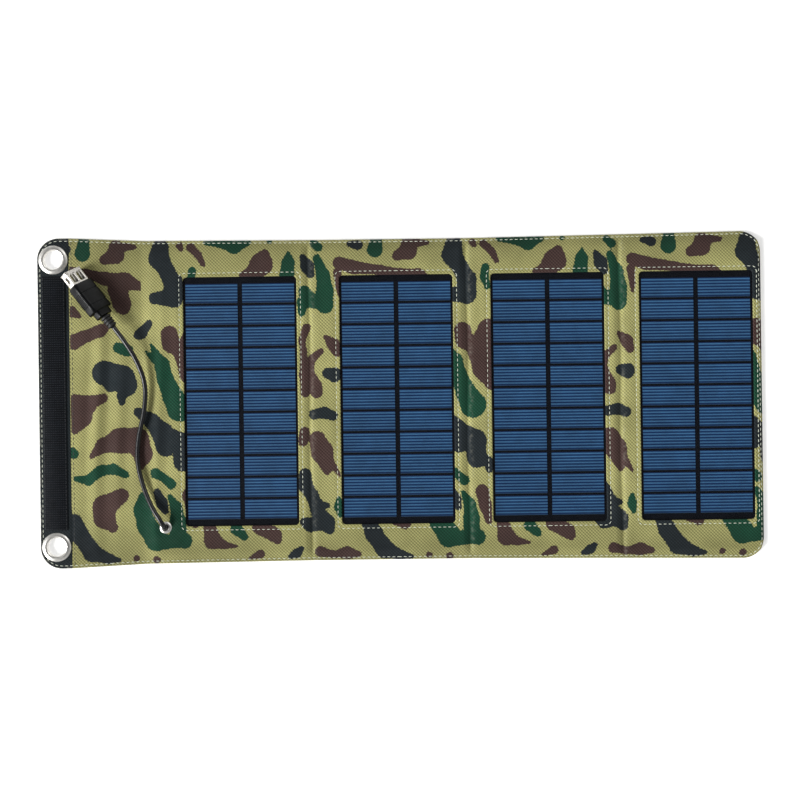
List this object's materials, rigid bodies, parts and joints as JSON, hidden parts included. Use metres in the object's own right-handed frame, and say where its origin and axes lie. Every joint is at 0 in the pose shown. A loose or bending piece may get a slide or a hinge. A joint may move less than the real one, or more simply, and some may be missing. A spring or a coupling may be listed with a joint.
{
  "type": "folding solar charger",
  "caption": "Fold-up solar charger of padded cloth sections with solar windows, a closing flap with hook strip and eyelets, and a short lead ending in a socket.",
  "frame": {"origin": "centre of the open charger's outline, on the surface that it lies on (z = 0 at the underside of the eyelet washers and the loop strip)", "axes": "+X runs from the closing flap to the last section (open length), +Y across the cloth, +Z out of the cells' face"},
  "size_m": [0.46, 0.21, 0.0184],
  "materials": {
    "camouflage_cloth": "woven, camouflage print",
    "back_cloth": "woven, camouflage print",
    "foam": "open-cell foam sheet",
    "board": "matte",
    "laminate": "gloss",
    "solar_cell": "satin, blue",
    "clear_film": "clear, slightly embossed",
    "tinned_ribbon": "tinned copper",
    "hook_and_loop": "nylon pile",
    "nickel": "nickel plate",
    "black_plastic": "satin",
    "cord_jacket": "satin",
    "black_rubber": "matte",
    "socket_steel": "plated",
    "tongue_plastic": "moulded",
    "contact_brass": "gold flash",
    "circuit_board": "solder resist"
  },
  "bodies": {
    "section_1": {"section_1_front_cover": "camouflage_cloth", "section_1_back_cover": "back_cloth", "section_1_foam_frame": "foam", "section_1_stiffener_board": "board", "section_1_laminate_base": "laminate", "section_1_cell_strips": "solar_cell", "section_1_clear_film": "clear_film", "section_1_collector_ribbons": "tinned_ribbon", "section_1_wires": "tinned_ribbon", "cable_eyelet": "nickel", "cable_eyelet_washer": "nickel", "cord_anchor": "black_plastic", "output_lead": "tinned_ribbon"},
    "section_2": {"section_2_front_cover": "camouflage_cloth", "section_2_back_cover": "back_cloth", "section_2_foam_frame": "foam", "section_2_stiffener_board": "board", "section_2_laminate_base": "laminate", "section_2_cell_strips": "solar_cell", "section_2_clear_film": "clear_film", "section_2_collector_ribbons": "tinned_ribbon", "section_2_wires": "tinned_ribbon", "loop_strip": "hook_and_loop"},
    "section_3": {"section_3_front_cover": "camouflage_cloth", "section_3_back_cover": "back_cloth", "section_3_foam_frame": "foam", "section_3_stiffener_board": "board", "section_3_laminate_base": "laminate", "section_3_cell_strips": "solar_cell", "section_3_clear_film": "clear_film", "section_3_collector_ribbons": "tinned_ribbon", "section_3_wires": "tinned_ribbon"},
    "section_4": {"section_4_front_cover": "camouflage_cloth", "section_4_back_cover": "back_cloth", "section_4_foam_frame": "foam", "section_4_stiffener_board": "board", "section_4_laminate_base": "laminate", "section_4_cell_strips": "solar_cell", "section_4_clear_film": "clear_film", "section_4_collector_ribbons": "tinned_ribbon", "section_4_wires": "tinned_ribbon"},
    "flap": {"flap_front_cloth": "camouflage_cloth", "flap_liner": "foam", "flap_back_cloth": "back_cloth", "cord": "cord_jacket", "strain_relief": "black_rubber", "connector_overmold": "black_plastic", "connector_shell": "socket_steel", "connector_insulator": "tongue_plastic", "connector_contacts": "contact_brass", "connector_board": "circuit_board", "regulator_parts": "black_plastic"},
    "closure_band": {"band_front_cloth": "camouflage_cloth", "band_back_cloth": "back_cloth", "hook_strip": "hook_and_loop", "upper_eyelet": "nickel", "upper_eyelet_washer": "nickel", "lower_eyelet": "nickel", "lower_eyelet_washer": "nickel"}
  },
  "joints": [
    {"name": "fold_1_2", "type": "hinge", "parent": "section_1", "child": "section_2", "pos_m": [-0.0574, 0, 0.0096], "axis": [0, -1, 0], "range_deg": [0, 177]},
    {"name": "fold_2_3", "type": "hinge", "parent": "section_2", "child": "section_3", "pos_m": [0.0428, 0, 0.00735], "axis": [0, -1, 0], "range_deg": [0, 179.8]},
    {"name": "fold_3_4", "type": "hinge", "parent": "section_3", "child": "section_4", "pos_m": [0.1398, 0, 0.0051], "axis": [0, -1, 0], "range_deg": [0, 179.8]},
    {"name": "flap_fold", "type": "hinge", "parent": "section_1", "child": "flap", "pos_m": [-0.161, 0, 0.0128], "axis": [0, -1, 0], "range_deg": [-179.8, 0], "deforming": ["cord"]},
    {"name": "band_peel", "type": "hinge", "parent": "flap", "child": "closure_band", "pos_m": [-0.2095, 0, 0.00175], "axis": [0, -1, 0], "range_deg": [0, 60]}
  ]
}
